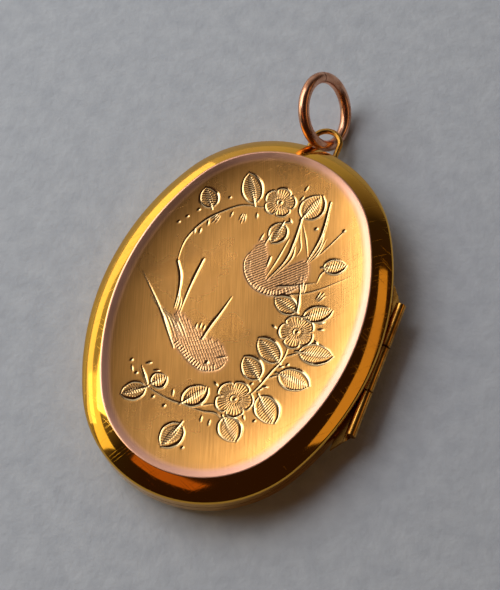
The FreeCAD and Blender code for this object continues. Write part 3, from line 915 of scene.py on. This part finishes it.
for half, side in (("front", 1), ("back", -1)):
    rim = make_band(f"{half}_rim", rounded(FRAME_SECTIONS[half], 3), side)
    cut_away(rim, hinge_cutter())
    cut_away(rim, bearer_cutter(f"hinge_bearer_{half}"))
    bezel = make_band(f"{half}_picture_bezel", rounded(BEZEL_SECTION, 3), side)
    for piece, node in ((rim, "frame"), (bezel, "bezel")):
        piece.data.materials.append(frame_gold)
        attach(piece, f"{half}_half")
        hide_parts(f"{half}_{node}")
# the lip stops short of the hinge: this box takes its right-hand part away
snap_lip = make_band("back_snap_lip", rounded(LIP_SECTION, 3), -1)
stop = bmesh.new()
bmesh.ops.create_cube(
    stop, size=1, matrix=Matrix.LocRotScale(LIP_STOP_MIDDLE, None, LIP_STOP_SIZE))
cut_away(snap_lip, finished("lip_stop", stop))
snap_lip.data.materials.append(frame_gold)
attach(snap_lip, "back_half")


# ------------------------------------------------------------ glazing, cards and packing
# Behind each bezel: a thin glazing disc, a blank picture card that time has yellowed, and
# folded paper that packs the card up against its seat.
def make_disc(name, node, inset, thick=None):
    """An oval disc with eased edges between a node's two faces."""
    low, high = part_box(node)
    side = 1 if node.startswith("front") else -1
    near = (low[2] - SEAM) if side > 0 else (SEAM - high[2])
    far = near + (high[2] - low[2] if thick is None else thick)
    ease = 0.05 * MM
    disc = bmesh.new()
    turns = disc.verts.layers.float.new("turn")
    bmesh.ops.create_circle(disc, cap_ends=True, segments=OVAL_STEPS, radius=1)
    for vert in disc.verts:
        vert[turns] = math.atan2(HALF_WIDTH * vert.co.y, HALF_LENGTH * vert.co.x)
        vert.co = oval_point(vert[turns], inset + ease, SEAM + side * near)
    line = [(inset, near + ease), (inset, far - ease), (inset + ease, far)]
    rim = grow_rings(disc, disc.edges[:], turns, line, side)
    bmesh.ops.contextual_create(disc, geom=rim)
    return finished(name, disc, 30)


def paper(name, colour, stain, fibre):
    """Rag paper or card: soft fibres, and age stains that darken it in patches."""
    material = new_material(name)
    place = add_node(material, "ShaderNodeTexCoord").outputs["Object"]
    # stains some 5 mm across, fibres as given in mm
    patch = add_node(material, "ShaderNodeTexNoise",
                     {"Vector": place, "Scale": 200.0, "Detail": 6.0})
    threads = add_node(material, "ShaderNodeTexNoise",
                       {"Vector": place, "Scale": 1000.0 / fibre, "Detail": 4.0})
    stained = add_node(material, "ShaderNodeMapRange", {0: patch, 1: 0.4, 2: 0.75})
    body = add_node(material, "ShaderNodeMix", {0: stained, 6: linear(colour), 7: linear(stain)},
                    data_type="RGBA")
    bump = add_node(material, "ShaderNodeBump",
                    {"Height": threads, "Strength": 0.4, "Distance": 0.03 * MM})
    shader = add_node(material, "ShaderNodeBsdfPrincipled",
                      {"Base Color": body.outputs[2], "Roughness": 0.85, "Normal": bump})
    add_node(material, "ShaderNodeOutputMaterial", {"Surface": shader})
    return material


# thin hand-cut glass: clear, faintly green, with a few rub marks of about 2 mm
glass = new_material("thin_picture_glass")
place = add_node(glass, "ShaderNodeTexCoord").outputs["Object"]
rubs = add_node(glass, "ShaderNodeTexNoise", {"Vector": place, "Scale": 500.0, "Detail": 6.0})
rubs = add_node(glass, "ShaderNodeMapRange", {0: rubs, 1: 0.5, 2: 0.8, 3: 0.02, 4: 0.1})
shader = add_node(glass, "ShaderNodeBsdfPrincipled",
                  {"Base Color": linear("#f8faf8"), "Transmission Weight": 1.0,
                   "IOR": 1.5, "Roughness": rubs})
# light falls through it to the picture
passed = add_node(glass, "ShaderNodeBsdfTransparent", {"Color": linear("#f4f6f2")})
shadow = add_node(glass, "ShaderNodeLightPath").outputs["Is Shadow Ray"]
both = add_node(glass, "ShaderNodeMixShader", {0: shadow, 1: shader, 2: passed})
add_node(glass, "ShaderNodeOutputMaterial", {"Surface": both})

WELL_INSET = 2.31 * MM
PACKING_INSET = 3.15 * MM
PACKING_THICK = 0.5 * MM
GLASS_THICK = 0.38 * MM
aged_card = paper("aged_picture_card", "#e2d6b8", "#c9b48a", 0.15)
rag_paper = paper("folded_rag_paper", "#c8b893", "#a8946c", 0.3)
layers = (
    ("picture_glass", "glass", WELL_INSET, GLASS_THICK, glass, "glazing"),
    ("picture_card", "photo_card", WELL_INSET, None, aged_card, "card"),
    ("paper_packing", "backing_pad", PACKING_INSET, PACKING_THICK, rag_paper, "packing_paper"),
)
for half in ("front", "back"):
    for name, node, inset, thick, material, slot in layers:
        disc = make_disc(f"{half}_{name}", f"{half}_{node}", inset, thick)
        disc.data.materials.append(material)
        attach(disc, f"{half}_half")
        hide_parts(f"{half}_{node}")


# ------------------------------------------------------------ floor, light and camera
# A plain pale sheet of paper, a large soft light like a window at the left with two low
# sheets beside it, and weak fills overhead, in front and at the right.
FLOOR_REACH = 0.8
floor_mesh = bmesh.new()
bmesh.ops.create_grid(floor_mesh, x_segments=1, y_segments=1, size=FLOOR_REACH)
floor = finished("floor", floor_mesh)
floor_paper = new_material("pale_paper")
place = add_node(floor_paper, "ShaderNodeTexCoord").outputs["Object"]
# a felted surface, 0.7 mm, and a faint mottle of 2 mm
felt = add_node(floor_paper, "ShaderNodeTexNoise",
                {"Vector": place, "Scale": 1400.0, "Detail": 4.0})
mottle = add_node(floor_paper, "ShaderNodeTexNoise",
                  {"Vector": place, "Scale": 500.0, "Detail": 8.0})
mottle = add_node(floor_paper, "ShaderNodeMapRange", {0: mottle, 1: 0.3, 2: 0.7})
body = add_node(floor_paper, "ShaderNodeMix",
                {0: mottle, 6: linear("#bfcad9"), 7: linear("#cdd8e6")}, data_type="RGBA")
bump = add_node(floor_paper, "ShaderNodeBump",
                {"Height": felt, "Strength": 0.5, "Distance": 0.12 * MM})
shader = add_node(floor_paper, "ShaderNodeBsdfPrincipled",
                  {"Base Color": body.outputs[2], "Roughness": 0.9, "Normal": bump})
add_node(floor_paper, "ShaderNodeOutputMaterial", {"Surface": shader})
floor.data.materials.append(floor_paper)


def soft_light(name, place, size, power, colour, target=(0, 0, 0)):
    """A soft box that faces the target."""
    lamp = bpy.data.lights.new(name, "AREA")
    lamp.shape = "RECTANGLE"
    lamp.size = size[0]
    lamp.size_y = size[1]
    lamp.energy = power
    lamp.color = linear(colour)[:3]
    holder = bpy.data.objects.new(name, lamp)
    holder.location = place
    aim = Vector(target) - Vector(place)
    holder.rotation_euler = aim.to_track_quat("-Z", "Y").to_euler()
    bpy.context.scene.collection.objects.link(holder)


soft_light("window", (-0.272, 0.05, 0.288), (0.34, 0.26), 0.84, "#fffaf4")
soft_light("left_sheet", (-0.42, 0.1, 0.09), (0.6, 0.12), 0.26, "#fff8ec")
soft_light("overhead", (-0.12, 0.22, 0.36), (0.2, 0.2), 0.055, "#ffffff")
soft_light("right_strip", (0.36, 0.12, 0.19), (0.4, 0.15), 0.11, "#ffcf94")
soft_light("front_card", (-0.09, -0.25, 0.3), (0.26, 0.1), 0.035, "#ff9a50")
soft_light("low_sheet", (-0.39, -0.14, 0.14), (0.26, 0.16), 0.16, "#fff0b8")

world = bpy.data.worlds.new("studio")
bpy.context.scene.world = world
world.use_nodes = True
world.node_tree.nodes.clear()
# the room is brightest behind and to the left, and dim in front and to the right
way = add_node(world, "ShaderNodeTexCoord").outputs["Generated"]
lit = add_node(world, "ShaderNodeVectorMath", {0: way, 1: (-0.75, 0.6, -0.2)},
               operation="DOT_PRODUCT").outputs["Value"]
level = add_node(world, "ShaderNodeMapRange", {0: lit, 1: 0.1, 2: 0.9, 3: 0.035, 4: 0.62})
warmth = add_node(world, "ShaderNodeMapRange", {0: lit, 1: -0.2, 2: 0.5})
tone = add_node(world, "ShaderNodeMix",
                {0: warmth, 6: linear("#d99a78"), 7: linear("#f4f2f0")}, data_type="RGBA")
room = add_node(world, "ShaderNodeBackground", {"Color": tone.outputs[2], "Strength": level})
add_node(world, "ShaderNodeOutputWorld", {"Surface": room})

bpy.context.scene.view_settings.view_transform = "Standard"

# the view: from the lower right of the case, high up, with the head tilted
AZIMUTH = math.radians(35.2)
ELEVATION = math.radians(65.4)
ROLL = math.radians(-13.2)
DISTANCE = 0.15
FOCAL = 1500 / 590
STAND = Vector((0.0, 0.0, 3.88)) * MM
AIM = Vector((0.52, 1.95, 4.47)) * MM
SENSOR = 36
stand = STAND + DISTANCE * Vector((math.sin(AZIMUTH) * math.cos(ELEVATION),
                                   -math.cos(AZIMUTH) * math.cos(ELEVATION), math.sin(ELEVATION)))
towards = (stand - AIM).normalized()
sideways = Vector((0, 0, 1)).cross(towards).normalized()
upward = towards.cross(sideways)
across = sideways * math.cos(ROLL) + upward * math.sin(ROLL)
upward = towards.cross(across)
camera_data = bpy.data.cameras.new("camera")
camera_data.sensor_width = SENSOR
camera_data.lens = FOCAL * SENSOR
camera_data.clip_start = 0.01
camera = bpy.data.objects.new("camera", camera_data)
turned = Matrix((across, upward, towards)).transposed().to_4x4()
camera.matrix_world = Matrix.Translation(stand) @ turned
bpy.context.scene.collection.objects.link(camera)
bpy.context.scene.camera = camera
